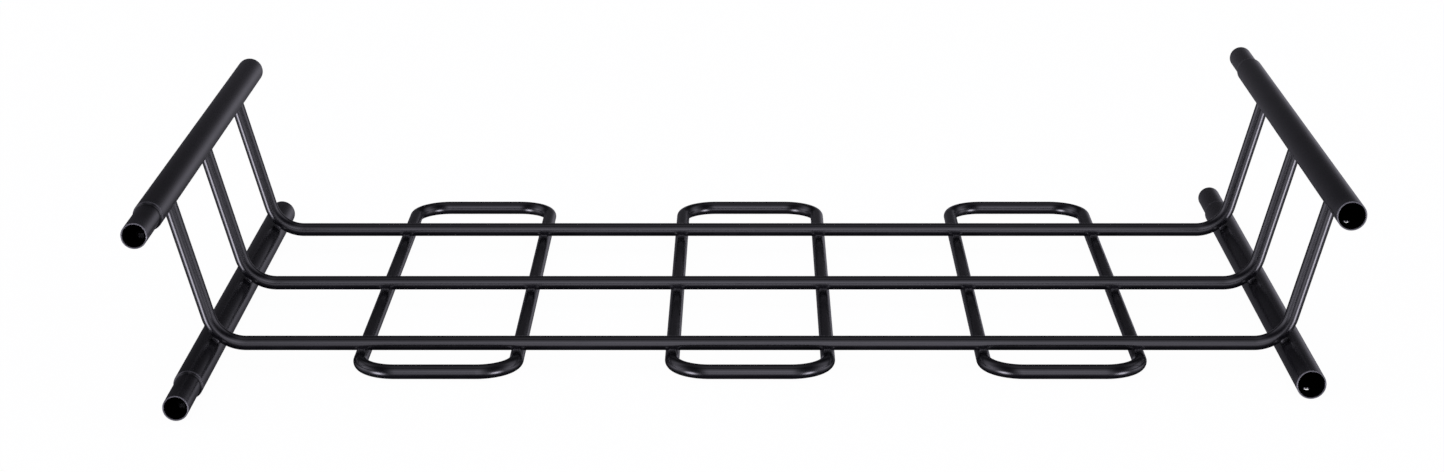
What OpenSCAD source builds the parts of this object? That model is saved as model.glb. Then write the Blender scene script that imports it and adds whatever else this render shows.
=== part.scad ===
// Extension section of a tubular steel roof cargo basket.
// Two upper and two lower side rails run front to back. Three cross rods form the floor, bend up
// at both sides, lean outwards and end on the underside of the upper rails. Three rounded loops
// lie under the rods and close the floor. Everything is welded into one rigid frame.
// Each rail has a reduced end that slides into the open socket of the next section of the basket.
// Frame: origin on the ground at the middle, +X to the right, +Y to the rear, +Z up.

/* [Side rails] */
// Outside diameter of the four side rail tubes
rail_d = 25.4; // [24:0.1:27]
// Wall thickness of the side rail tubes
rail_wall = 1.2; // [1:0.1:1.5]
// Length of a rail at its full diameter, from the shoulder to the socket mouth
body_len = 534; // [480:1:620]
// Length of the reduced end, from its tip to the shoulder
spigot_len = 60; // [50:1:80]
// Outside diameter of the reduced end
spigot_d = 22; // [20:0.1:22.2]
// Length over which the tube grows from the reduced end to its full diameter
shoulder_len = 4; // [3:0.5:8]

/* [Cross rods] */
// Outside diameter of the rods
rod_d = 12.7; // [11:0.1:14]
// Wall thickness of the rods
rod_wall = 1.2; // [1:0.1:2]
// Distance between neighbouring rods
rod_pitch = 179; // [140:1:195]
// Distance of the middle rod behind the middle of the section
rod_shift = 6; // [0:1:20]
// Half width of the floor, to where the floor line and the side line of a rod cross
floor_half = 466; // [430:1:520]
// Height of the upper rails' axis above the axis of the rods' floor stretch
side_height = 142; // [110:1:180]
// Angle by which the sides lean outwards from upright
side_lean = 15.5; // [8:0.5:22]
// Distance of an upper rail's axis inboard of the rods' side line
rail_inboard = 4.4; // [0:0.1:5]
// Centreline radius of the bends of the rods
bend_r = 33; // [28:1:40]

/* [Floor loops] */
// Outside diameter of the loops' tube
loop_d = 12.7; // [11:0.1:14]
// Wall thickness of the loops
loop_wall = 1.2; // [1:0.1:2]
// Width of a loop, between the centrelines of its two side bars
loop_w = 136; // [110:1:150]
// Length of a loop, between the centrelines of its front and rear bars
loop_len = 524; // [460:1:560]
// Distance between the middles of neighbouring loops
loop_pitch = 272; // [250:1:280]
// Distance of the loops' middle behind the middle of the section
loop_shift = 48; // [20:1:60]
// Centreline radius of the loops' corners
loop_corner_r = 33; // [25:1:45]

/* [Bolting] */
// Diameter of the bolt holes in the undersides of the rails' ends
bolt_hole_d = 5.5; // [5:0.1:6]
// Distance of a socket's bolt hole from its mouth
bolt_inset = 23; // [18:1:26]
// Size across the flats of the nut welded inside each reduced end
nut_flats = 8; // [7.5:0.5:9]
// Height of that nut
nut_height = 4; // [3.5:0.5:5]
// Diameter of the tapped hole in that nut
nut_tap_d = 4.2; // [4:0.1:4.4]

/* [Welds] */
// Radius of the weld beads where a rod lies on a loop or on a lower rail
bead_r = 2.8; // [2.2:0.1:3.2]
// Length of those beads
bead_len = 10.6; // [9:0.2:13]
// Size of the weld round each rod's end under an upper rail
ring_weld = 2.2; // [1.5:0.1:2.8]

/* [Hidden] */
$fn = 96;
eps = 0.5;
rail_r = rail_d / 2;
spigot_r = spigot_d / 2;
spigot_bore_r = spigot_r - rail_wall;
rod_r = rod_d / 2;
loop_r = loop_d / 2;
rail_len = body_len + spigot_len;
tip_y = -(body_len / 2 + spigot_len);
mouth_y = body_len / 2;
socket_hole_y = mouth_y - bolt_inset;
spigot_hole_y = -(body_len / 2 + shoulder_len + bolt_inset);
// The loops and the lower rails stand on the ground, and the rods lie on the loops.
loop_z = loop_r;
rod_z = loop_d + rod_r;
lower_z = rail_r;
upper_z = rod_z + side_height;
// A rod is straight up to bend_x, turns through bend_angle and goes on in a straight leg.
bend_angle = 90 - side_lean;
bend_x = floor_half - bend_r * tan(bend_angle / 2);
bend_z = rod_z + bend_r;
leg_x = bend_x + bend_r * cos(side_lean);
leg_z = bend_z - bend_r * sin(side_lean);
leg_len = (upper_z - leg_z) / cos(side_lean);
upper_x = floor_half + side_height * tan(side_lean) - rail_inboard;
// The lower rail touches the outside of the bends: bend centre to rail centre is nest_gap.
nest_gap = bend_r + rod_r + rail_r;
nest_drop = bend_z - lower_z;
lower_x = bend_x + sqrt(nest_gap * nest_gap - nest_drop * nest_drop);
nest_angle = atan2(lower_x - bend_x, nest_drop);
// Distance of a bead from the plane through the rod's axis
bead_side = 0.82 * rod_r;
shoulder_steps = 8;
clamp_band = 0.05;
clamp_band_len = 1;
rod_ys = [for (i = [-1:1]) rod_shift + i * rod_pitch];

coat = [0.13, 0.13, 0.14];
zinc = [0.55, 0.56, 0.58];

// Radius of the tube's outside at a share t of the shoulder, a smooth step
function shoulder_r(t) = spigot_r + (rail_r - spigot_r) * (1 - cos(180 * t)) / 2;
function shoulder_line(inset) = [for (i = [0:shoulder_steps])
    [shoulder_r(i / shoulder_steps) - inset, spigot_len - shoulder_len * (1 - i / shoulder_steps)]];
function reversed(list) = [for (i = [len(list) - 1:-1:0]) list[i]];

// Half section of a rail tube: radius across, distance from the tip up
module rail_section() {
    polygon(concat([[spigot_r, 0]], shoulder_line(0), [[rail_r, rail_len]],
                   [[rail_r - rail_wall, rail_len]], reversed(shoulder_line(rail_wall)),
                   [[spigot_bore_r, 0]]));
}

// Hole through the lower wall of a tube of radius r, on the tube's axis at y
module wall_hole(y, r) {
    translate([0, y, -r - eps]) cylinder(d = bolt_hole_d, h = rail_wall + 3 * eps);
}

// A rail along Y with its reduced end at the front
module rail_tube() {
    difference() {
        translate([0, tip_y, 0]) rotate([-90, 0, 0]) rotate_extrude() rail_section();
        wall_hole(socket_hole_y, rail_r);
        wall_hole(spigot_hole_y, spigot_r);
    }
}

// Puts its children on the side rail's axis; on the right side they are turned end for end
module on_rail(side, x, z) {
    translate([side * x, 0, z]) rotate([0, 0, side < 0 ? 0 : 180]) children();
}

// Cross-section of a tube of outside radius r
module tube_ring(r, wall) {
    difference() {
        circle(r = r);
        circle(r = r - wall);
    }
}

// Right-hand half of a rod in the plane y = 0, with the faint band that the bending clamp leaves
// where the leg begins
module half_rod() {
    translate([0, 0, rod_z]) rotate([0, 90, 0]) linear_extrude(bend_x) tube_ring(rod_r, rod_wall);
    translate([bend_x, 0, bend_z]) rotate([90, 0, 0]) rotate([0, 0, -90])
        rotate_extrude(angle = bend_angle) translate([bend_r, 0]) tube_ring(rod_r, rod_wall);
    translate([leg_x, 0, leg_z]) rotate([0, side_lean, 0]) {
        linear_extrude(leg_len) tube_ring(rod_r, rod_wall);
        translate([0, 0, -clamp_band_len / 2]) linear_extrude(clamp_band_len)
            tube_ring(rod_r + clamp_band, rod_wall / 2);
    }
}

// Solid cylinder that fills an upper rail near y = 0, grown by extra
module upper_rail_fill(side, extra = 0) {
    translate([side * upper_x, 25, upper_z]) rotate([90, 0, 0]) cylinder(r = rail_r + extra, h = 50);
}

// Both ends of a rod are cut to the round of the upper rails
module cross_rod(y) {
    translate([0, y, 0]) difference() {
        union() {
            half_rod();
            mirror([1, 0, 0]) half_rod();
        }
        upper_rail_fill(-1);
        upper_rail_fill(1);
    }
}

// A loop of tube: four corners and four bars
module floor_loop(x) {
    half_w = loop_w / 2 - loop_corner_r;
    half_l = loop_len / 2 - loop_corner_r;
    translate([x, loop_shift, loop_z]) for (turn = [0:3]) rotate(90 * turn) {
        along = turn % 2 == 0 ? half_l : half_w;
        out = turn % 2 == 0 ? half_w : half_l;
        translate([out, along, 0]) rotate_extrude(angle = 90) translate([loop_corner_r, 0])
            tube_ring(loop_r, loop_wall);
        translate([out + loop_corner_r, along, 0]) rotate([90, 0, 0])
            linear_extrude(2 * along) tube_ring(loop_r, loop_wall);
    }
}

// Hexagonal weld nut whose seat follows the inside of the reduced end
module spigot_nut() {
    difference() {
        intersection() {
            translate([0, spigot_hole_y, -spigot_bore_r - eps]) rotate(30)
                cylinder(d = nut_flats / cos(30), h = nut_height + eps, $fn = 6);
            translate([0, spigot_hole_y + nut_flats, 0]) rotate([90, 0, 0])
                cylinder(r = spigot_bore_r, h = 2 * nut_flats);
        }
        translate([0, spigot_hole_y, -spigot_r]) cylinder(d = nut_tap_d, h = spigot_r + nut_height);
    }
}

// Bead along X with domed ends, centred on the origin
module bead() {
    intersection() {
        rotate([0, 90, 0]) cylinder(r = bead_r, h = bead_len + 2, center = true);
        rotate(90) sphere(d = bead_len);
    }
}

// The two beads where a rod along X lies on a tube of radius r along Y; they touch at the origin
module crossing_beads(r) {
    for (front = [-1, 1]) difference() {
        translate([0, front * bead_side, 0]) rotate([-front * 135, 0, 0]) bead();
        translate([-15, 0, rod_r]) rotate([0, 90, 0]) cylinder(r = rod_r, h = 30);
        translate([0, 15, -r]) rotate([90, 0, 0]) cylinder(r = r, h = 30);
    }
}

// Welds round the ends of the rods under an upper rail
module upper_welds(side) {
    for (y = rod_ys) translate([0, y, 0]) difference() {
        intersection() {
            upper_rail_fill(side, ring_weld);
            translate([side * leg_x, 0, leg_z]) rotate([0, side * side_lean, 0])
                cylinder(r = rod_r + ring_weld, h = leg_len);
        }
        upper_rail_fill(side);
        translate([side * leg_x, 0, leg_z]) rotate([0, side * side_lean, 0])
            cylinder(r = rod_r, h = leg_len + eps);
    }
}

// Welds in front of and behind each rod's bend, on a lower rail
module lower_welds(side) {
    mirror([side < 0 ? 1 : 0, 0, 0]) for (y = rod_ys)
        translate([bend_x, y, bend_z]) rotate([0, -nest_angle, 0])
            translate([0, 0, -bend_r - rod_r]) crossing_beads(rail_r);
}

// Welds in front of and behind each rod, on both side bars of a loop
module loop_welds(x) {
    for (bar = [-1, 1], y = rod_ys) translate([x + bar * loop_w / 2, y, loop_d])
        crossing_beads(loop_r);
}

module upper_rail_left() { color(coat) on_rail(-1, upper_x, upper_z) rail_tube(); }
module upper_rail_right() { color(coat) on_rail(1, upper_x, upper_z) rail_tube(); }
module lower_rail_left() { color(coat) on_rail(-1, lower_x, lower_z) rail_tube(); }
module lower_rail_right() { color(coat) on_rail(1, lower_x, lower_z) rail_tube(); }
module cross_rod_front() { color(coat) cross_rod(rod_ys[0]); }
module cross_rod_middle() { color(coat) cross_rod(rod_ys[1]); }
module cross_rod_rear() { color(coat) cross_rod(rod_ys[2]); }
module floor_loop_left() { color(coat) floor_loop(-loop_pitch); }
module floor_loop_centre() { color(coat) floor_loop(0); }
module floor_loop_right() { color(coat) floor_loop(loop_pitch); }
module nut_upper_left() { color(zinc) on_rail(-1, upper_x, upper_z) spigot_nut(); }
module nut_upper_right() { color(zinc) on_rail(1, upper_x, upper_z) spigot_nut(); }
module nut_lower_left() { color(zinc) on_rail(-1, lower_x, lower_z) spigot_nut(); }
module nut_lower_right() { color(zinc) on_rail(1, lower_x, lower_z) spigot_nut(); }
module welds_upper_left() { color(coat) upper_welds(-1); }
module welds_upper_right() { color(coat) upper_welds(1); }
module welds_lower_left() { color(coat) lower_welds(-1); }
module welds_lower_right() { color(coat) lower_welds(1); }
module welds_loop_left() { color(coat) loop_welds(-loop_pitch); }
module welds_loop_centre() { color(coat) loop_welds(0); }
module welds_loop_right() { color(coat) loop_welds(loop_pitch); }

upper_rail_left();
upper_rail_right();
lower_rail_left();
lower_rail_right();
cross_rod_front();
cross_rod_middle();
cross_rod_rear();
floor_loop_left();
floor_loop_centre();
floor_loop_right();
nut_upper_left();
nut_upper_right();
nut_lower_left();
nut_lower_right();
welds_upper_left();
welds_upper_right();
welds_lower_left();
welds_lower_right();
welds_loop_left();
welds_loop_centre();
welds_loop_right();
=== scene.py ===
"""Looks of a roof cargo basket's extension section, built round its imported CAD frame.

Every tube, nut and weld is made here as a finely divided mesh that stands for its CAD node.
Lengths are in millimetres, and become metres where MM is used, but those of the materials,
the floor and the camera are in metres as they stand.
"""

import math

import bmesh
import bpy
from mathutils import Matrix, Vector


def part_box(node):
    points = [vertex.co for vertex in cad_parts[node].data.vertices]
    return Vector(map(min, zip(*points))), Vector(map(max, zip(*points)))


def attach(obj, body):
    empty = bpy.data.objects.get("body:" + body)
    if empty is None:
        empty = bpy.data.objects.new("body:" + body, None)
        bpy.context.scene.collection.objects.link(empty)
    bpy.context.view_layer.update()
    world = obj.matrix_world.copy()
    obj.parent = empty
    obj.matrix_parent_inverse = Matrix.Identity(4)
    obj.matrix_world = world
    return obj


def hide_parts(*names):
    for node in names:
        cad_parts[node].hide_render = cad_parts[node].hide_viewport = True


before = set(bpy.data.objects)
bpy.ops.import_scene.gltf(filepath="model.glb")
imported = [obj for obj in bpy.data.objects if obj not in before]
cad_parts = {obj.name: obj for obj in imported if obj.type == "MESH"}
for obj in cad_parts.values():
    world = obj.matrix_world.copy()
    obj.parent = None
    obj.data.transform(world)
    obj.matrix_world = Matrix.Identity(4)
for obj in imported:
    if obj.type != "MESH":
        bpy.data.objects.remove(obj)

MM = 0.001  # metres
AROUND = 96  # points round a side rail
AROUND_ROD = 48  # points round a rod or loop
AROUND_HOLE = 48
AROUND_NUT = 72
ON_BORE = 0.99  # a point's least bore mark for it to count as on an inner wall

# Greatest angle between faces that are shaded as one smooth surface, in degrees
SMOOTH_RAIL = 40
SMOOTH_ROD = 50
SMOOTH_NUT = 28

# Tube sizes, as in the CAD source
RAIL_R = 12.7
RAIL_WALL = 1.2
SPIGOT_R = 11.0
SPIGOT_LEN = 60.0
SHOULDER_LEN = 4.0
ROD_R = 6.35
ROD_WALL = 1.2
LOOP_R = 6.35
LOOP_CORNER_R = 33.0
LOOP_BAR_X = 68.0

# Shape of the bent rods
FLOOR_HALF = 466.0
SIDE_HEIGHT = 142.0
LEAN = math.radians(15.5)
RAIL_INBOARD = 4.4
BEND_R = 33.0
ROD_Z = 2 * LOOP_R + ROD_R
BEND_ANGLE = math.pi / 2 - LEAN
BEND_X = FLOOR_HALF - BEND_R * math.tan(BEND_ANGLE / 2)
BEND_Z = ROD_Z + BEND_R

# Bolting: the hole's inset is measured from the socket's mouth and from the shoulder
HOLE_R = 2.75
HOLE_INSET = 23.0
NUT_FLATS = 8.0
NUT_HEIGHT = 4.0
THREAD_R = 2.1
THREAD_DEPTH = 0.4
THREAD_PITCH = 0.8
THREAD_RINGS = 42
CHAMFER_R = NUT_FLATS / 2 + 0.05
CHAMFER_SLOPE = 1.6
CHAMFER_DROPS = (0.8, 0.5, 0.25, 0.0)

SIDES = (("left", -1), ("right", 1))
ROWS = ("front", "middle", "rear")
LOOPS = ("left", "centre", "right")


def box_mm(node):
    """Lowest and highest corner of a CAD node, in millimetres."""
    low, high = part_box(node)
    return low / MM, high / MM


def middle(node):
    """Centre of a CAD node's box, in millimetres."""
    low, high = box_mm(node)
    return (low + high) / 2


# ---------------------------------------------------------------- meshes


def skin(name, rings, caps=False, wear_and_highlight=None, bore=None):
    """Joins rings of points, each as long as the next, into one closed surface.

    The last ring joins the first unless caps is set, which closes both ends with a face.
    The last two arguments say of each ring, from 0 to 1, how much of the paler edge colour it
    gets, partly worn coat and partly a painted highlight, and whether it is on a tube's inner wall.
    """
    mesh = bpy.data.meshes.new(name)
    bm = bmesh.new()
    # Share of the paler edge colour at each point: partly worn coat, partly a painted highlight
    wear_and_highlight_layer = bm.verts.layers.float.new("thin_coat_and_highlight")
    bore_layer = bm.verts.layers.float.new("bore")
    made = []
    for index, ring in enumerate(rings):
        verts = [bm.verts.new(Vector(point) * MM) for point in ring]
        for vert in verts:
            vert[wear_and_highlight_layer] = wear_and_highlight[index] if wear_and_highlight else 0.0
            vert[bore_layer] = bore[index] if bore else 0.0
        made.append(verts)
    count = len(rings[0])
    pairs = list(zip(made, made[1:]))
    if not caps:
        pairs.append((made[-1], made[0]))
    for one, two in pairs:
        for i in range(count):
            j = (i + 1) % count
            bm.faces.new((one[i], one[j], two[j], two[i]))
    if caps:
        bm.faces.new(made[0])
        bm.faces.new(made[-1])
    bmesh.ops.recalc_face_normals(bm, faces=bm.faces)
    for face in bm.faces:
        face.smooth = True
    bm.to_mesh(mesh)
    bm.free()
    return bpy.data.objects.new(name, mesh)


def link(piece):
    """Puts an object into the scene."""
    bpy.context.scene.collection.objects.link(piece)
    return piece


def place(piece, node, material, shade_material=None):
    """Puts a finished piece on the frame in place of its CAD node."""
    piece.data.materials.clear()
    piece.data.materials.append(material)
    # Painted shade: inner-wall faces get the near-black second material
    if shade_material:
        shade_bore(piece, shade_material)
    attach(piece, "root")
    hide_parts(node)
    return piece


def shade_bore(piece, shade_material):
    """Gives the faces whose corners are all on a tube's inner wall the second material, a
    near-black painted shade for the tube's unlit inside.
    """
    inside = [point.value > ON_BORE for point in piece.data.attributes["bore"].data]
    piece.data.materials.append(shade_material)
    for face in piece.data.polygons:
        if all(inside[i] for i in face.vertices):
            face.material_index = 1


def join(name, parts):
    """One piece from several closed meshes."""
    bm = bmesh.new()
    for part in parts:
        bm.from_mesh(part.data)
        bpy.data.objects.remove(part)
    mesh = bpy.data.meshes.new(name)
    bm.to_mesh(mesh)
    bm.free()
    return link(bpy.data.objects.new(name, mesh))


def circle(radius, height, count=AROUND):
    """Ring of points round the Z axis."""
    turns = [2 * math.pi * i / count for i in range(count)]
    return [Vector((radius * math.cos(a), radius * math.sin(a), height)) for a in turns]


def drill(piece, holes):
    """Cuts round holes, each a centre and a radius, up through the bottom wall of a rail."""
    reach = 2.2  # up and down from the middle of the wall
    for centre, radius in holes:
        rings = [circle(radius, -reach, AROUND_HOLE), circle(radius, reach, AROUND_HOLE)]
        cutter = link(skin("hole_cutter", rings, caps=True))
        cutter.data.transform(Matrix.Translation(Vector(centre) * MM))
        cut = piece.modifiers.new("hole", "BOOLEAN")
        cut.operation = "DIFFERENCE"
        cut.solver = "EXACT"
        cut.object = cutter
        depsgraph = bpy.context.evaluated_depsgraph_get()
        drilled = bpy.data.meshes.new_from_object(piece.evaluated_get(depsgraph))
        piece.modifiers.clear()
        piece.data = drilled
        bpy.data.objects.remove(cutter)
    piece.data.set_sharp_from_angle(angle=math.radians(SMOOTH_RAIL))
    return piece


# ---------------------------------------------------------------- side rails


def rim(radius, inner, at, outward):
    """Rounded end of a tube wall, from outside to inside: (radius, distance, edge mark) points.
    An edge mark of 1 gives the rim the paler edge colour: partly worn coat, partly a painted
    highlight.
    """
    fillet = 0.42
    steps = 4
    angles = [math.pi / 2 * i / steps for i in range(steps + 1)]
    points = []
    for a in angles:
        back = fillet * (1 - math.sin(a))
        points.append((radius - fillet * (1 - math.cos(a)), at - outward * back, 1.0))
    for a in angles:
        back = fillet * (1 - math.cos(a))
        points.append((inner + fillet * (1 - math.sin(a)), at - outward * back, 1.0))
    return points


def shoulder(inset):
    """The swaged step between the reduced end and the full tube, from the tip's side.

    inset is 0 for the outside, which gets a painted highlight of the paler edge colour near the
    crest, or the wall's thickness.
    """
    steps = 14
    crest_at, crest_width = 0.86, 0.3
    points = []
    for i in range(steps + 1):
        t = i / steps
        radius = SPIGOT_R + (RAIL_R - SPIGOT_R) * (1 - math.cos(math.pi * t)) / 2
        # Painted highlight: a band of the paler edge colour round the outside of the shoulder's
        # crest
        crest = max(0.0, 1 - abs(t - crest_at) / crest_width) if inset == 0 else 0.0
        points.append((radius - inset, SPIGOT_LEN - SHOULDER_LEN * (1 - t), crest))
    return points


def rail_profile(length):
    """Closed outline of a rail's wall: (radius, distance from the tip, edge mark, bore).
    The edge mark gives rims the paler edge colour as worn coat and painted highlight, and the
    shoulder's crest as a painted highlight.

    Rings lie close together round the bolt holes, and further apart along the plain body.
    """
    socket_hole = length - HOLE_INSET
    spigot_hole = SPIGOT_LEN - SHOULDER_LEN - HOLE_INSET
    near_hole = (-6.0, -3.5, 0.0, 3.5, 6.0)
    clear_of_hole = 7.0
    apart = 40.0
    past_shoulder, before_shoulder = 1.2, 1.0
    behind_rim, behind_rim_inside = 1.2, 1.6
    # Edge mark fading out just behind each rim: worn coat and painted highlight
    wear_and_highlight_behind_rim = 0.15
    spigot_cuts = [spigot_hole + n for n in near_hole]
    socket_cuts = [socket_hole + n for n in near_hole]
    plain_cuts = [SPIGOT_LEN + past_shoulder] + [SPIGOT_LEN + apart * i for i in range(1, 13)]
    body_cuts = [y for y in plain_cuts if y < socket_hole - clear_of_hole] + socket_cuts
    outer = [(SPIGOT_R, behind_rim, wear_and_highlight_behind_rim)]
    outer += [(SPIGOT_R, y, 0.0) for y in spigot_cuts]
    outer += [(SPIGOT_R, SPIGOT_LEN - SHOULDER_LEN - before_shoulder, 0.0)]
    outer += shoulder(0)
    outer += [(RAIL_R, y, 0.0) for y in body_cuts]
    outer += [(RAIL_R, length - behind_rim, wear_and_highlight_behind_rim)]
    mouth = rim(RAIL_R, RAIL_R - RAIL_WALL, length, 1)
    inner = [(RAIL_R - RAIL_WALL, length - behind_rim_inside, 0.0)]
    inner += [(RAIL_R - RAIL_WALL, y, 0.0) for y in reversed(body_cuts)]
    inner += [(r, y, 0.0) for r, y, _ in reversed(shoulder(RAIL_WALL))]
    inner += [(SPIGOT_R - RAIL_WALL, SPIGOT_LEN - SHOULDER_LEN - before_shoulder, 0.0)]
    inner += [(SPIGOT_R - RAIL_WALL, y, 0.0) for y in reversed(spigot_cuts)]
    inner += [(SPIGOT_R - RAIL_WALL, behind_rim_inside, 0.0)]
    tip = list(reversed(rim(SPIGOT_R, SPIGOT_R - RAIL_WALL, 0.0, -1)))
    outside = [p + (0.0,) for p in outer + mouth]
    inside = [p + (1.0,) for p in inner]
    return outside + inside + [p + (0.0,) for p in tip]


def make_rail(level, side, sign, material, shade_material):
    """A side rail: reduced end to the front on the left, and to the rear on the right."""
    node = f"{level}_rail_{side}"
    low, high = box_mm(node)
    length = high.y - low.y
    axis_x = (low.x + high.x) / 2
    axis_z = (low.z + high.z) / 2
    rings, wear_and_highlight, bore = [], [], []
    # Each ring's share of the paler edge colour: worn coat and painted highlight
    for radius, along, ring_wear_and_highlight, inside in rail_profile(length):
        y = low.y + along if sign < 0 else high.y - along
        rings.append([Vector((axis_x + p.x, y, axis_z + p.y)) for p in circle(radius, 0)])
        wear_and_highlight.append(ring_wear_and_highlight)
        bore.append(inside)
    piece = link(skin(f"rail_{level}_{side}", rings, wear_and_highlight=wear_and_highlight, bore=bore))
    socket_y = high.y - HOLE_INSET if sign < 0 else low.y + HOLE_INSET
    spigot_y = nut_y(low, high, sign)
    drill(piece, [
        ((axis_x, socket_y, axis_z - RAIL_R + RAIL_WALL / 2), HOLE_R),
        ((axis_x, spigot_y, axis_z - SPIGOT_R + RAIL_WALL / 2), HOLE_R),
    ])
    return place(piece, node, material, shade_material)


def nut_y(low, high, sign):
    """Where a reduced end's bolt hole and nut are."""
    from_tip = SPIGOT_LEN - SHOULDER_LEN - HOLE_INSET
    return low.y + from_tip if sign < 0 else high.y - from_tip


# ---------------------------------------------------------------- cross rods


def rod_path():
    """Points of the right half of a rod's centreline: (x, z, slope of the line)."""
    straight_steps = 10
    points = [(BEND_X * i / straight_steps, ROD_Z, 0.0) for i in range(straight_steps)]
    points.append((BEND_X - 1.0, ROD_Z, 0.0))
    leg_cuts = (1.0, 30.0, 60.0, 90.0, 104.0)
    steps = 28
    for i in range(steps + 1):
        a = BEND_ANGLE * i / steps
        points.append((BEND_X + BEND_R * math.sin(a), BEND_Z - BEND_R * math.cos(a), a))
    start_x, start_z, slope = points[-1]
    for along in leg_cuts:
        points.append((start_x + along * math.cos(slope), start_z + along * math.sin(slope), slope))
    return points


def rod_ring(point, y, radius):
    """Ring of points round a rod's centreline."""
    x, z, slope = point
    ring = []
    for i in range(AROUND_ROD):
        a = 2 * math.pi * i / AROUND_ROD
        out = radius * math.cos(a)
        up = radius * math.sin(a)
        ring.append(Vector((x - up * math.sin(slope), y + out, z + up * math.cos(slope))))
    return ring


def upper_rail_axis():
    """Where the right upper rail's axis is: (x, z)."""
    return FLOOR_HALF + SIDE_HEIGHT * math.tan(LEAN) - RAIL_INBOARD, ROD_Z + SIDE_HEIGHT


def coped(ring, slope):
    """Moves a ring's points along the leg until they lie on the round of the upper rail."""
    axis_x, axis_z = upper_rail_axis()
    step_x, step_z = math.cos(slope), math.sin(slope)
    moved = []
    for p in ring:
        off_x, off_z = p.x - axis_x, p.z - axis_z
        half_b = off_x * step_x + off_z * step_z
        travel = -half_b - math.sqrt(half_b**2 - (off_x**2 + off_z**2 - RAIL_R**2))
        moved.append(Vector((p.x + travel * step_x, p.y, p.z + travel * step_z)))
    return moved


def mirrored(ring):
    """The same ring on the other side of the basket."""
    return [Vector((-p.x, p.y, p.z)) for p in ring]


def rod_rings(y, radius):
    """All the rings of one wall of a rod, from the left rail to the right one."""
    right = [rod_ring(point, y, radius) for point in rod_path()]
    right.append(coped(right[-1], BEND_ANGLE))
    left = [mirrored(ring) for ring in reversed(right)]
    return left[:-1] + right


def make_rod(row, material, shade_material):
    """A cross rod: one tube bent up at both ends, with the inside of its wall too."""
    node = f"cross_rod_{row}"
    y = middle(node).y
    outer = rod_rings(y, ROD_R)
    inner = list(reversed(rod_rings(y, ROD_R - ROD_WALL)))
    bore = [0.0] * len(outer) + [1.0] * len(inner)
    piece = link(skin(f"rod_{row}", outer + inner, bore=bore))
    piece.data.set_sharp_from_angle(angle=math.radians(SMOOTH_ROD))
    return place(piece, node, material, shade_material)


# ---------------------------------------------------------------- floor loops


def loop_path(half_w, half_l):
    """Closed centreline of a loop: (x, y, direction of the outward normal)."""
    corner_x = half_w - LOOP_CORNER_R
    corner_y = half_l - LOOP_CORNER_R
    points = []
    steps = 24
    bar_cuts = (0.004, 0.25, 0.5, 0.75, 0.996)
    for turn, (sx, sy) in enumerate(((1, 1), (-1, 1), (-1, -1), (1, -1))):
        for i in range(steps + 1):
            a = math.pi / 2 * (turn + i / steps)
            x = sx * corner_x + LOOP_CORNER_R * math.cos(a)
            y = sy * corner_y + LOOP_CORNER_R * math.sin(a)
            points.append((x, y, a))
        leave_x, leave_y, a = points[-1]
        run = 2 * (corner_x if turn % 2 == 0 else corner_y)
        ahead_x, ahead_y = -math.sin(a), math.cos(a)
        for share in bar_cuts:
            along = run * share
            points.append((leave_x + ahead_x * along, leave_y + ahead_y * along, a))
    return points


def make_loop(place_name, material):
    """A floor loop: one closed ring of tube, which shows only its outside."""
    node = f"floor_loop_{place_name}"
    low, high = box_mm(node)
    centre = (low + high) / 2
    half_w = (high.x - low.x) / 2 - LOOP_R
    half_l = (high.y - low.y) / 2 - LOOP_R
    rings = []
    for x, y, a in loop_path(half_w, half_l):
        ring = []
        for i in range(AROUND_ROD):
            b = 2 * math.pi * i / AROUND_ROD
            out = LOOP_R * math.cos(b)
            up = LOOP_R * math.sin(b)
            ring.append(Vector((
                centre.x + x + out * math.cos(a),
                centre.y + y + out * math.sin(a),
                centre.z + up,
            )))
        rings.append(ring)
    piece = link(skin(f"loop_{place_name}", rings))
    return place(piece, node, material)


# ---------------------------------------------------------------- weld nuts


def hexagon(angle):
    """Distance from a hexagon's centre to its side in that direction."""
    sixth = math.pi / 3
    return NUT_FLATS / 2 / math.cos((angle % sixth) - sixth / 2)


def thread_radius(share, angle):
    """Radius of the cut thread at a share of the nut's height and an angle."""
    phase = (share * NUT_HEIGHT / THREAD_PITCH + angle / (2 * math.pi)) % 1.0
    return THREAD_R + THREAD_DEPTH * (1 - abs(2 * phase - 1))


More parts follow.
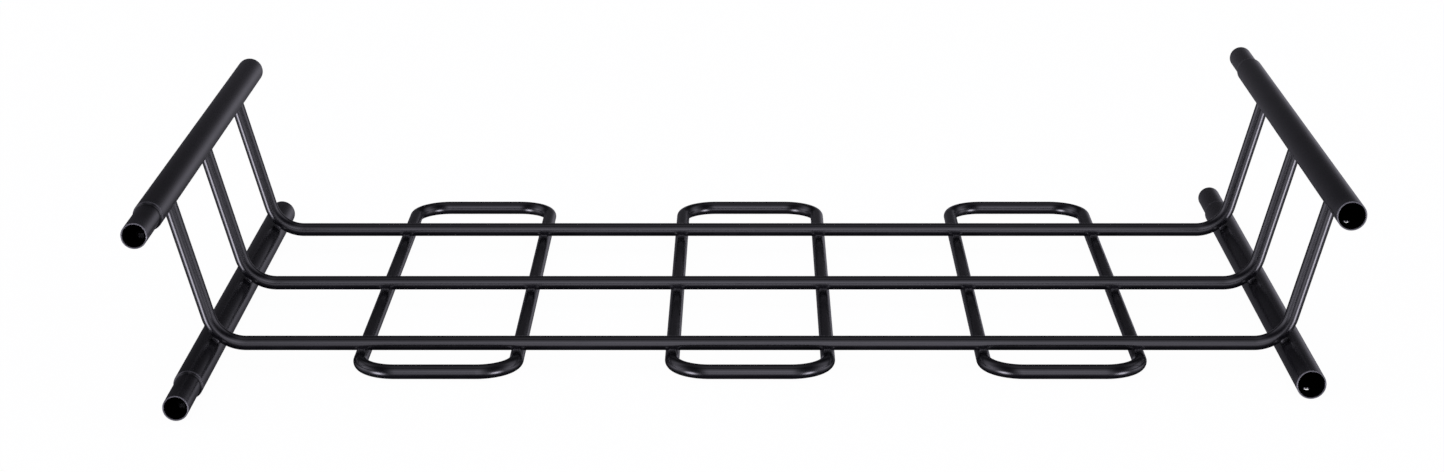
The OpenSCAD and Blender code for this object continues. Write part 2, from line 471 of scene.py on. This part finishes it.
def make_nut(level, side, sign, material):
    """Hexagonal nut on the inside of the reduced end's bottom wall, with a cut thread."""
    node = f"nut_{level}_{side}"
    low, high = box_mm(f"{level}_rail_{side}")
    axis_x = (low.x + high.x) / 2
    axis_z = (low.z + high.z) / 2
    y = nut_y(low, high, sign)
    bore_r = SPIGOT_R - RAIL_WALL
    top = NUT_HEIGHT - bore_r
    angles = [2 * math.pi * i / AROUND_NUT for i in range(AROUND_NUT)]
    lead_in_r = THREAD_R + THREAD_DEPTH + 0.1
    thread_top = top - 0.3

    def seat(radii):
        """Heights of the tube's wall below points at these radii."""
        return [-math.sqrt(bore_r**2 - (r * math.cos(a)) ** 2) for a, r in zip(angles, radii)]

    def ring(radii, heights):
        """Points round the nut's axis at these radii and heights."""
        points = []
        for a, r, height in zip(angles, radii, heights):
            points.append(Vector((axis_x + r * math.cos(a), y + r * math.sin(a), axis_z + height)))
        return points

    sides = [hexagon(a) for a in angles]
    rings = [ring(sides, seat(sides))]
    for drop in CHAMFER_DROPS:
        widest = CHAMFER_R + CHAMFER_SLOPE * drop
        rings.append(ring([min(r, widest) for r in sides], [top - drop] * AROUND_NUT))
    rings.append(ring([lead_in_r] * AROUND_NUT, [top] * AROUND_NUT))
    for i in range(THREAD_RINGS + 1):
        share = i / THREAD_RINGS
        radii = [thread_radius(share, a) for a in angles]
        heights = [thread_top + (bottom - thread_top) * share for bottom in seat(radii)]
        rings.append(ring(radii, heights))
    piece = link(skin(f"nut_{level}_{side}_weld_nut", rings))
    piece.data.set_sharp_from_angle(angle=math.radians(SMOOTH_NUT))
    return place(piece, node, material)


# ---------------------------------------------------------------- welds


def curve_through(start, control, end, count):
    """Points of a smooth curve from start to end, drawn towards control."""
    points = []
    for i in range(count + 1):
        t = i / count
        points.append(start * (1 - t) ** 2 + control * (2 * t * (1 - t)) + end * t**2)
    return points


def crossing_fillet(tube_r, front):
    """Small weld in the nook between a rod along X and a tube along Y that touch at the origin.

    full is 1 at the middle of the weld and 0 at its ends, where it thins out. front is the
    side of the rod that it lies on. Each section ends inside the tubes, at its root.
    """
    half_length = 3.6
    stations = 36
    ripple_length = 1.2
    ripple_size = 0.03
    end_climb, more_climb = 24, 22  # degrees round the rod
    end_spread, more_spread = 0.4, 1.3
    nook_out, nook_up = 0.9, 0.25  # shares of where the weld meets the rod
    rings = []
    for i in range(stations + 1):
        u = 2 * i / stations - 1
        x = u * half_length
        full = math.sqrt(max(0.0, 1 - u * u))
        ripple = 1 + ripple_size * math.cos(2 * math.pi * x / ripple_length)
        top = math.sqrt(tube_r**2 - x**2) - tube_r
        climb = math.radians(end_climb + more_climb * full * ripple)
        spread = (end_spread + more_spread * full) * ripple
        on_rod = Vector((x, ROD_R * math.sin(climb), ROD_R * (1 - math.cos(climb))))
        on_tube = Vector((x, on_rod.y + spread, top))
        nook = Vector((x, on_rod.y * nook_out, top + (on_rod.z - top) * nook_up))
        control = (nook + (on_rod + on_tube) / 2) / 2
        section = curve_through(on_rod, control, on_tube, 8)
        # The root's three points
        section.append(Vector((x, on_tube.y - 0.2, top - 0.7)))
        section.append(Vector((x, on_rod.y * 0.3, top - 0.4)))
        section.append(Vector((x, on_rod.y * 0.85, on_rod.z + 0.7)))
        rings.append([Vector((p.x, front * p.y, p.z)) for p in section])
    return skin("fillet", rings, caps=True)


def make_loop_welds(place_name, material):
    """Both welds at each of the six crossings of a loop and the rods."""
    node = f"welds_loop_{place_name}"
    centre_x = middle(f"floor_loop_{place_name}").x
    parts = []
    for row in ROWS:
        y = middle(f"cross_rod_{row}").y
        for bar in (-1, 1):
            for front in (-1, 1):
                part = crossing_fillet(LOOP_R, front)
                at = Vector((centre_x + bar * LOOP_BAR_X, y, 2 * LOOP_R))
                part.data.transform(Matrix.Translation(at * MM))
                parts.append(part)
    return place(join(f"weld_loop_{place_name}", parts), node, material)


def make_lower_welds(side, sign, material):
    """Welds where the bends of the three rods lie against a lower rail."""
    rail = middle(f"lower_rail_{side}")
    nest_angle = math.atan2(abs(rail.x) - BEND_X, BEND_Z - rail.z)
    parts = []
    for row in ROWS:
        y = middle(f"cross_rod_{row}").y
        for front in (-1, 1):
            part = crossing_fillet(RAIL_R, front)
            centre = Matrix.Translation(Vector((sign * BEND_X, y, BEND_Z)) * MM)
            turn = Matrix.Rotation(-sign * nest_angle, 4, "Y")
            drop = Matrix.Translation(Vector((0, 0, -BEND_R - ROD_R)) * MM)
            part.data.transform(centre @ turn @ drop)
            parts.append(part)
    return place(join(f"weld_lower_{side}", parts), f"welds_lower_{side}", material)


def make_upper_welds(side, sign, material):
    """Ring welds where the three rods end on the underside of an upper rail."""
    size = 1.7
    ripples = 15
    ripple_size = 0.05
    bulge = 0.35
    root = 0.6  # how far each section reaches into the tubes
    axis_x, axis_z = upper_rail_axis()
    step = Vector((math.cos(BEND_ANGLE), 0, math.sin(BEND_ANGLE)))
    end_x, end_z, slope = rod_path()[-1]
    parts = []
    for row in ROWS:
        y = middle(f"cross_rod_{row}").y
        ring = coped(rod_ring((end_x, end_z, slope), y, ROD_R), slope)
        foot = Vector((end_x, y, end_z))
        rings = []
        for index, corner in enumerate(ring):
            wave = 1 + ripple_size * math.cos(2 * math.pi * index * ripples / len(ring))
            along = (corner - foot).dot(step)
            out = (corner - foot - step * along).normalized()
            on_rod = corner - step * size * wave
            spread = corner + out * size * wave
            from_axis = Vector((spread.x - axis_x, 0, spread.z - axis_z)).normalized()
            on_rail = Vector((axis_x, spread.y, axis_z)) + from_axis * RAIL_R
            control = corner + (out - step) * bulge
            section = curve_through(on_rod, control, on_rail, 7)
            section.append(on_rail - from_axis * root)
            section.append(on_rod - out * root)
            rings.append([Vector((sign * p.x, p.y, p.z)) for p in section])
        parts.append(skin("ring_weld", rings))
    return place(join(f"weld_upper_{side}", parts), f"welds_upper_{side}", material)


# ---------------------------------------------------------------- materials

# The coat is almost black with a trace of violet. Rims get a far paler edge colour, partly worn
# coat and partly a painted highlight, and the shoulder's crest gets it as a painted highlight.
COAT_DARK = (0.0050, 0.0048, 0.0062)
COAT_LIGHT = (0.0080, 0.0076, 0.0098)
EDGE_WEAR_AND_HIGHLIGHT_COLOUR = (0.19, 0.187, 0.20)
COAT_IOR = 1.75
# Inner walls of the tubes: near black and dull, a painted shade for their unlit insides
BORE_SHADE_DARK = (0.0006, 0.0006, 0.0008)
BORE_SHADE_LIGHT = (0.0016, 0.0015, 0.0018)
BORE_IOR = 1.12
BORE_ROUGHNESS = 0.9

# Scales of the noise textures, per metre, and the height of the orange peel, in metres
CLOUD_SCALE = 38.0
PATCH_SCALE = 60.0
GRAIN_SCALE = 1500.0
PEEL_SCALE = 620.0
PEEL_HEIGHT = 0.00003

# Where between 0 and 1 the clouds turn from the darker colour to the lighter one
CLOUD_FROM, CLOUD_TO = 0.3, 0.7

# How far clouds and grain change the roughness, and the grain's share of the relief
CLOUD_GLOSS = 0.10
GRAIN_GLOSS = 0.10
GRAIN_RELIEF = 0.35

# Share of the paler edge colour (worn coat and painted highlight) on marked points: a part that
# follows the clouds, and a rest
EDGE_CLOUDY = 0.9
EDGE_PLAIN = 0.3


class Nodes:
    """Short way to add nodes to a material or world."""

    def __init__(self, tree):
        self.tree = tree
        tree.nodes.clear()

    def add(self, kind, **settings):
        """A new node, with each setting given to its input or property of that name."""
        node = self.tree.nodes.new(kind)
        for key, value in settings.items():
            if key in node.inputs:
                node.inputs[key].default_value = value
            else:
                setattr(node, key, value)
        return node

    def link(self, source, target):
        """Joins two sockets."""
        self.tree.links.new(source, target)

    def math(self, operation, first, second=None, third=None):
        """A Math node's result, from numbers and sockets."""
        node = self.tree.nodes.new("ShaderNodeMath")
        node.operation = operation
        for socket, value in zip(node.inputs, (first, second, third)):
            if value is None:
                continue
            if isinstance(value, (int, float)):
                socket.default_value = value
            else:
                self.tree.links.new(value, socket)
        return node.outputs[0]


def noise(nodes, coords, scale, detail):
    """Noise from 0 to 1 over the object's own space."""
    node = nodes.add("ShaderNodeTexNoise", Scale=scale, Detail=detail)
    nodes.link(coords, node.inputs["Vector"])
    return node.outputs["Fac"]


def ramp(nodes, factor, dark, light):
    """Blends two colours by noise."""
    span = nodes.add("ShaderNodeMapRange")
    span.inputs["From Min"].default_value = CLOUD_FROM
    span.inputs["From Max"].default_value = CLOUD_TO
    nodes.link(factor, span.inputs["Value"])
    mix = nodes.add("ShaderNodeMix", data_type="RGBA")
    mix.inputs["A"].default_value = (*dark, 1)
    mix.inputs["B"].default_value = (*light, 1)
    nodes.link(span.outputs["Result"], mix.inputs["Factor"])
    return mix.outputs["Result"]


def blend_colour(nodes, factor, first, second):
    """Mixes the colour socket first with the plain colour second by factor."""
    mix = nodes.add("ShaderNodeMix", data_type="RGBA")
    nodes.link(factor, mix.inputs["Factor"])
    nodes.link(first, mix.inputs["A"])
    mix.inputs["B"].default_value = (*second, 1)
    return mix.outputs["Result"]


def coat_material(name, roughness, peel):
    """Satin black powder coat: faint mottling, orange peel and fine grain, with a far paler edge
    colour on rims and the shoulder's crest, partly worn coat and partly a painted highlight.
    """
    material = bpy.data.materials.new(name)
    material.use_nodes = True
    nodes = Nodes(material.node_tree)
    coords = nodes.add("ShaderNodeTexCoord").outputs["Object"]
    # Mask of the paler edge colour: worn coat and painted highlight on rims, painted highlight on
    # the shoulder's crest
    wear_and_highlight = nodes.add("ShaderNodeAttribute", attribute_name="thin_coat_and_highlight").outputs["Fac"]

    cloud = noise(nodes, coords, CLOUD_SCALE, 3.0)
    grain = noise(nodes, coords, GRAIN_SCALE, 2.0)
    peel_waves = noise(nodes, coords, PEEL_SCALE, 1.5)

    base = ramp(nodes, cloud, COAT_DARK, COAT_LIGHT)
    speckle = nodes.math("SUBTRACT", grain, 0.5)
    # Paler edge colour laid over the base: partly worn coat, partly a painted highlight
    wear_and_highlight_strength = nodes.math("MULTIPLY_ADD", cloud, EDGE_CLOUDY, EDGE_PLAIN)
    edge = nodes.math("MULTIPLY", wear_and_highlight, wear_and_highlight_strength)
    base = blend_colour(nodes, edge, base, EDGE_WEAR_AND_HIGHLIGHT_COLOUR)

    rough = nodes.math("MULTIPLY_ADD", cloud, CLOUD_GLOSS, roughness - CLOUD_GLOSS / 2)
    rough = nodes.math("MULTIPLY_ADD", speckle, GRAIN_GLOSS, rough)

    height = nodes.math("MULTIPLY_ADD", grain, GRAIN_RELIEF, peel_waves)
    bump = nodes.add("ShaderNodeBump", Strength=peel, Distance=PEEL_HEIGHT)
    nodes.link(height, bump.inputs["Height"])

    shader = nodes.add("ShaderNodeBsdfPrincipled")
    shader.inputs["IOR"].default_value = COAT_IOR
    nodes.link(base, shader.inputs["Base Color"])
    nodes.link(rough, shader.inputs["Roughness"])
    nodes.link(bump.outputs["Normal"], shader.inputs["Normal"])
    output = nodes.add("ShaderNodeOutputMaterial")
    nodes.link(shader.outputs["BSDF"], output.inputs["Surface"])
    return material


def make_bore_shade():
    """Dull, almost black inside of a tube with faint random patches: painted shade for the unlit
    bore.
    """
    material = bpy.data.materials.new("tube_inside_painted_shade")
    material.use_nodes = True
    nodes = Nodes(material.node_tree)
    coords = nodes.add("ShaderNodeTexCoord").outputs["Object"]
    patches = noise(nodes, coords, PATCH_SCALE, 3.0)
    shader = nodes.add("ShaderNodeBsdfPrincipled")
    shader.inputs["IOR"].default_value = BORE_IOR
    shader.inputs["Roughness"].default_value = BORE_ROUGHNESS
    base = ramp(nodes, patches, BORE_SHADE_DARK, BORE_SHADE_LIGHT)
    nodes.link(base, shader.inputs["Base Color"])
    output = nodes.add("ShaderNodeOutputMaterial")
    nodes.link(shader.outputs["BSDF"], output.inputs["Surface"])
    return material


# ---------------------------------------------------------------- studio

# Soft lights round the object: azimuth from the front towards the right, elevation and spread,
# all in degrees, and strength. They light the coat and show in its reflections.
LIGHTS = {
    "front_high": (0, 46, 15, 0.75),
    "front": (0, 20, 14, 1.45),
    "front_low": (0, -12, 12, 0.95),
    "front_wide": (12, -8, 24, 0.58),
    "left_key": (-50, -22, 12, 9.5),
    "right_key": (50, -22, 11, 9.5),
    "left_side": (-92, 4, 24, 1.4),
    "right_side": (95, 2, 24, 1.3),
    "left_rim": (-120, 38, 16, 0.5),
    "right_rim": (115, 38, 16, 0.5),
    "overhead": (0, 90, 16, 0.34),
    "back_high": (180, 60, 20, 0.12),
    "back_low": (180, -3, 15, 0.30),
    "back_right": (160, -3, 11, 0.31),
}
LIGHT_TINT = (0.975, 0.945, 1.10)
BACKDROP = (0.99, 0.99, 0.99)
FLOOR_GLOW = 0.975
FLOOR_COLOUR = (0.10, 0.10, 0.10)
FLOOR_REACH = 30.0  # metres
FLOOR_DROP = 0.0004  # metres below the tubes

# Camera, in metres and degrees, placed for the photographed view
CAMERA_AT = (0.0, -2.67488, 0.84351)
CAMERA_DOWN = 16.204
CAMERA_LENS = 75.0
CAMERA_SENSOR = 36.0
CAMERA_SHIFT = -0.0194


def direction(azimuth, elevation):
    """Unit vector towards a light; azimuth 0 is the front and 90 the right."""
    a, e = math.radians(azimuth), math.radians(elevation)
    return (math.sin(a) * math.cos(e), -math.cos(a) * math.cos(e), math.sin(e))


def make_world():
    """Soft lights as round glows in the sky; the camera itself sees only the pale backdrop."""
    world = bpy.data.worlds.new("studio")
    bpy.context.scene.world = world
    world.use_nodes = True
    nodes = Nodes(world.node_tree)
    toward = nodes.add("ShaderNodeTexCoord").outputs["Generated"]
    total = None
    for azimuth, elevation, spread, strength in LIGHTS.values():
        dot = nodes.add("ShaderNodeVectorMath", operation="DOT_PRODUCT")
        nodes.link(toward, dot.inputs[0])
        dot.inputs[1].default_value = direction(azimuth, elevation)
        sharpness = 1 / (1 - math.cos(math.radians(spread)))
        fall = nodes.math("MULTIPLY_ADD", dot.outputs["Value"], sharpness, -sharpness)
        glow = nodes.math("MULTIPLY", nodes.math("EXPONENT", fall), strength)
        total = glow if total is None else nodes.math("ADD", total, glow)
    light = nodes.add("ShaderNodeBackground", Color=(*LIGHT_TINT, 1))
    nodes.link(total, light.inputs["Strength"])
    backdrop = nodes.add("ShaderNodeBackground", Color=(*BACKDROP, 1), Strength=1.0)
    seen = nodes.add("ShaderNodeLightPath").outputs["Is Camera Ray"]
    mix = nodes.add("ShaderNodeMixShader")
    nodes.link(seen, mix.inputs[0])
    nodes.link(light.outputs[0], mix.inputs[1])
    nodes.link(backdrop.outputs[0], mix.inputs[2])
    output = nodes.add("ShaderNodeOutputWorld")
    nodes.link(mix.outputs[0], output.inputs["Surface"])


def make_floor():
    """Plain pale floor that glows, so that only the faintest shade shows under the tubes."""
    mesh = bpy.data.meshes.new("floor")
    r = FLOOR_REACH
    corners = [(-r, -r, 0), (r, -r, 0), (r, r, 0), (-r, r, 0)]
    mesh.from_pydata(corners, [], [(0, 1, 2, 3)])
    floor = link(bpy.data.objects.new("floor", mesh))
    floor.location.z = -FLOOR_DROP
    material = bpy.data.materials.new("pale_floor")
    material.use_nodes = True
    nodes = Nodes(material.node_tree)
    matt = nodes.add("ShaderNodeBsdfDiffuse", Color=(*FLOOR_COLOUR, 1))
    glow = nodes.add("ShaderNodeEmission", Color=(1, 1, 1, 1), Strength=FLOOR_GLOW)
    both = nodes.add("ShaderNodeAddShader")
    nodes.link(matt.outputs[0], both.inputs[0])
    nodes.link(glow.outputs[0], both.inputs[1])
    output = nodes.add("ShaderNodeOutputMaterial")
    nodes.link(both.outputs[0], output.inputs["Surface"])
    mesh.materials.append(material)
    floor.visible_diffuse = False
    floor.visible_glossy = False
    floor.visible_shadow = False


def make_camera():
    """Camera in front of the basket, looking slightly down at it."""
    camera = bpy.data.objects.new("camera", bpy.data.cameras.new("camera"))
    link(camera)
    camera.location = CAMERA_AT
    camera.rotation_euler = (math.radians(90 - CAMERA_DOWN), 0, 0)
    camera.data.lens = CAMERA_LENS
    camera.data.sensor_width = CAMERA_SENSOR
    camera.data.shift_x = CAMERA_SHIFT
    bpy.context.scene.camera = camera


# ---------------------------------------------------------------- the object

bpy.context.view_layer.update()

coat = coat_material("black_powder_coat", roughness=0.22, peel=0.17)
weld_coat = coat_material("coat_over_weld", roughness=0.42, peel=0.3)
nut_coat = coat_material("coat_over_nut", roughness=0.5, peel=0.3)
# Painted shade for the insides of the tubes
bore_shade = make_bore_shade()

for side, sign in SIDES:
    for level in ("upper", "lower"):
        make_rail(level, side, sign, coat, bore_shade)
        make_nut(level, side, sign, nut_coat)
    make_upper_welds(side, sign, weld_coat)
    make_lower_welds(side, sign, weld_coat)
for row in ROWS:
    make_rod(row, coat, bore_shade)
for place_name in LOOPS:
    make_loop(place_name, coat)
    make_loop_welds(place_name, weld_coat)

make_world()
make_floor()
make_camera()
bpy.context.scene.view_settings.view_transform = "Standard"

bpy.context.view_layer.update()
